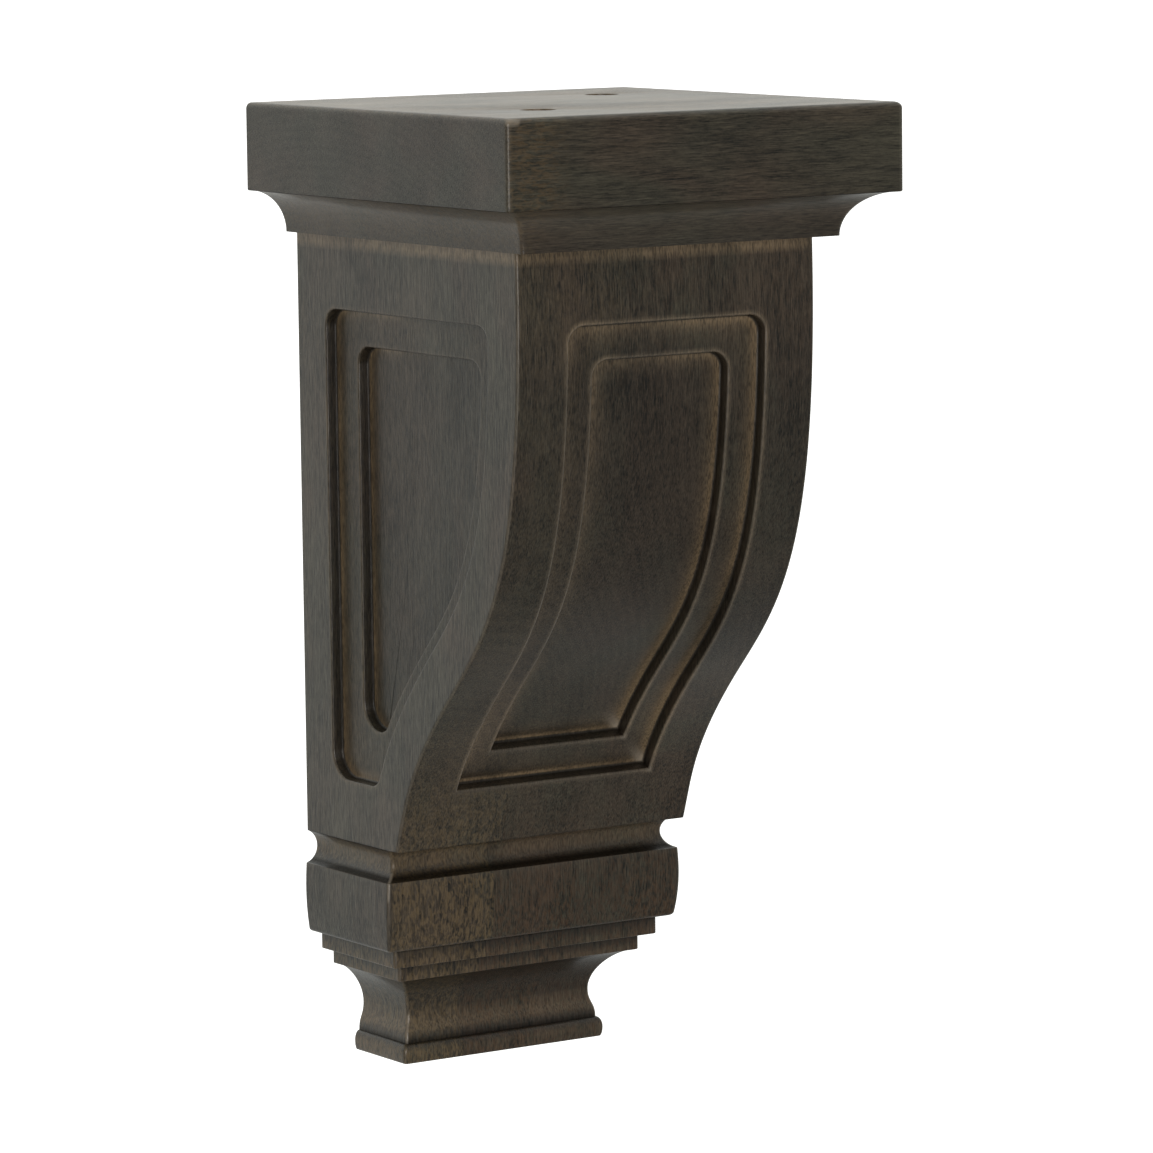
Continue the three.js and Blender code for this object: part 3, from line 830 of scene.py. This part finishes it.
    # The lacquer shines most on dense wood and is dull where the stain and painted shade lie thick
    dull = add(tree, "MapRange", {0: marks["stain"], 1: 0.55, 2: 0.95, 3: 1.0, 4: 0.0})
    sheen = add(tree, "MapRange", {0: tone, 1: 0.40, 2: 0.61, 3: 0.74, 4: 1.24})
    sheen = add(tree, "Math", {0: sheen, 1: dull}, operation="MULTIPLY")
    lacquer = add(tree, "Math", {0: sheen, 1: 0.3}, operation="MULTIPLY")
    shine = add(tree, "Math", {0: sheen, 1: 0.5}, operation="MULTIPLY")
    gloss = add(tree, "MapRange", {0: seen["streaks"], 1: 0.3, 2: 0.7, 3: 0.36, 4: 0.46})
    relief = add(tree, "Math", {0: seen["streaks"], 1: 0.5, 2: seen["fibres"]}, operation="MULTIPLY_ADD")
    bump = add(tree, "Bump", {"Strength": 0.6, "Distance": 0.0002, "Height": relief})
    finish = {"Base Color": wood, "Roughness": gloss, "IOR": 1.5, "Normal": bump}
    finish.update({"Specular IOR Level": shine, "Coat Weight": lacquer, "Coat Roughness": 0.18})
    add(tree, "OutputMaterial", {0: add(tree, "BsdfPrincipled", finish)})
    return material


upright_maple = stained_maple(
    "espresso_stained_maple_upright",
    "Z",
    0.005,
    staves=[
        (-61.5, -18.3, 0.3, -72, 0.47, "#6b583b"),
        (-18.3, 61.5, 0.3, -92, 0.60, "#4a3522"),
        (16.0, 38.0, 0.4, -100, 0.30, "#1a1613"),
    ],
    bands=[(JOINT - 0.5, 4.0, 0.8)],
)
body_piece = body_skin.piece("corbel_body", upright_maple)
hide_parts("body")
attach(body_piece, "root")

# Cap: one block of maple with its grain across the corbel, glued on the body: a slab with a cove run under
# its front and both sides. Its top edge is eased, and two shallow round screw places are sunk in its top.
CAP_HALF = 82.5
CAP_DEEP = 171.0
SLAB_EDGE = 31.4
SLAB_EASE = 2.2
SLAB_CORNER = 1.3
COVE_RADIUS = 15.5
COVE_LIP = 0.3
COVE_STEPS = 26
LOWER_LIP = 0.15
LOWER_EASE = 0.5
# The screw places: radius, depth, and for each its place and how far its wall is darkened
SCREW_PLACE = 6.35
SCREW_PLACE_DEEP = 0.8
SCREW_PLACE_STEPS = 48
SCREW_PLACES = ((-40.0, -125.5, 0.0), (40.0, -45.5, 0.4))
# Middle and reach of the knock on the near top corner
KNOCK = (2.2, 0.0, -1.0)
KNOCK_REACH = (3.2, 1.6, 1.7)
CAP_CORNER_WEAR = 0.06
CAP_ACROSS = 60
CAP_ALONG = 60

cap_skin = Skin()
cap_top = SLAB_EDGE + COVE_RADIUS

# Inset and level up the cap, with stain, wear and rub: the cove, then the slab's lower edge, face and top
cove = ellipse(COVE_LIP, 0, COVE_RADIUS, COVE_RADIUS, 0, 90, COVE_STEPS)
cap_rows = [(u, v, (0.3 * (1 - i / COVE_STEPS) ** 3, 0.02, 0.0)) for i, (u, v) in enumerate(cove)]
cap_rows.append((LOWER_LIP, COVE_RADIUS, (0.5, 0, 0)))
lower_edge = ellipse(LOWER_EASE, COVE_RADIUS + LOWER_EASE, LOWER_EASE, LOWER_EASE, 250, 180, 3)
cap_rows += [(u, v, (0.1, 0, 0)) for u, v in lower_edge]
cap_rows.append((0.0, COVE_RADIUS + LOWER_EASE + 1.0, (0, 0, 0)))
cap_rows += [(0.0, cap_top - SLAB_EASE - below, (0, 0, 0)) for below in (5.0, 3.2, 1.8, 0.8)]
top_edge = ellipse(SLAB_EASE, cap_top - SLAB_EASE, SLAB_EASE, SLAB_EASE, 180, 90, 6)
cap_rows += [(u, v, (0, 0, 0)) for u, v in top_edge]
cap_rows.append((SLAB_EASE + 1.2, cap_top, (0, 0, 0.45)))
rings = []
for inset, level, _ in cap_rows:
    rings.append(round_ring(CAP_HALF - inset, CAP_DEEP - inset, level, SLAB_CORNER, CAP_ALONG, CAP_ACROSS))
cap_corner_wear = np.zeros(len(rings[0]))
for first in (CAP_ALONG, len(rings[0]) - CAP_ALONG - ROUND):
    cap_corner_wear[first : first + ROUND] = CAP_CORNER_WEAR
knock = np.array((-CAP_HALF, -CAP_DEEP, cap_top)) + KNOCK
cap_marks = []
for ring, (*_, (stain, wear_and_highlight, rub)) in zip(rings, cap_rows):
    knocked = 1.2 - np.linalg.norm((np.array(ring) - knock) / KNOCK_REACH, axis=1)
    worn = np.maximum(np.clip(knocked, 0, 0.3), np.maximum(wear_and_highlight, cap_corner_wear * (1 - stain)))
    cap_marks.append([(stain, w, rub) for w in worn])
cap_skin.grid(rings, cap_marks)
cap_skin.flat(rings[0])
cap_skin.flat([r[0] for r in rings[::-1]] + [r[-1] for r in rings])


def round_place(x, y, sink, radius):
    """Circle round a screw place."""
    turns = np.linspace(0, 2 * np.pi, SCREW_PLACE_STEPS, endpoint=False)
    return [(x + radius * math.cos(t), y + radius * math.sin(t), cap_top - sink) for t in turns]


for x, y, dark in SCREW_PLACES:
    rows = [
        round_place(x, y, 0.0, SCREW_PLACE + 0.25),
        round_place(x, y, 0.07, SCREW_PLACE + 0.07),
        round_place(x, y, 0.25, SCREW_PLACE),
        round_place(x, y, SCREW_PLACE_DEEP, SCREW_PLACE),
        round_place(x, y, SCREW_PLACE_DEEP, SCREW_PLACE - 1.0),
    ]
    marks = [(0, 0, 0.45), (0, 0, 0.6), (dark, 0, 0.9), (dark, 0.1, 0.9), (0, 0.1, 0.6)]
    cap_skin.grid(rows, marks, closed=True)
    cap_skin.flat(rows[-1])


def close_top(work):
    """Fills the flat top round its two sunk places."""
    level = (cap_top + JOINT) * MM
    rim = [e for e in work.edges if e.is_boundary and all(abs(v.co.z - level) < 1e-6 for v in e.verts)]
    ends = [v for v in work.verts if abs(v.co.z - level) < 1e-6 and abs(v.co.y) < 1e-6]
    ends = [min(ends, key=lambda v: v.co.x), max(ends, key=lambda v: v.co.x)]
    back = work.edges.get(ends) or work.edges.new(ends)
    bmesh.ops.triangle_fill(work, use_beauty=True, edges=rim + [back])


paler_end = (-82.0, -62.0, 6.0, 300, 0.5, "#524129")
level_maple = stained_maple("espresso_stained_maple_level", "X", 0.04, [paler_end])
cap_piece = cap_skin.piece("corbel_cap", level_maple, close_top)
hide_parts("cap")
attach(cap_piece, "root")
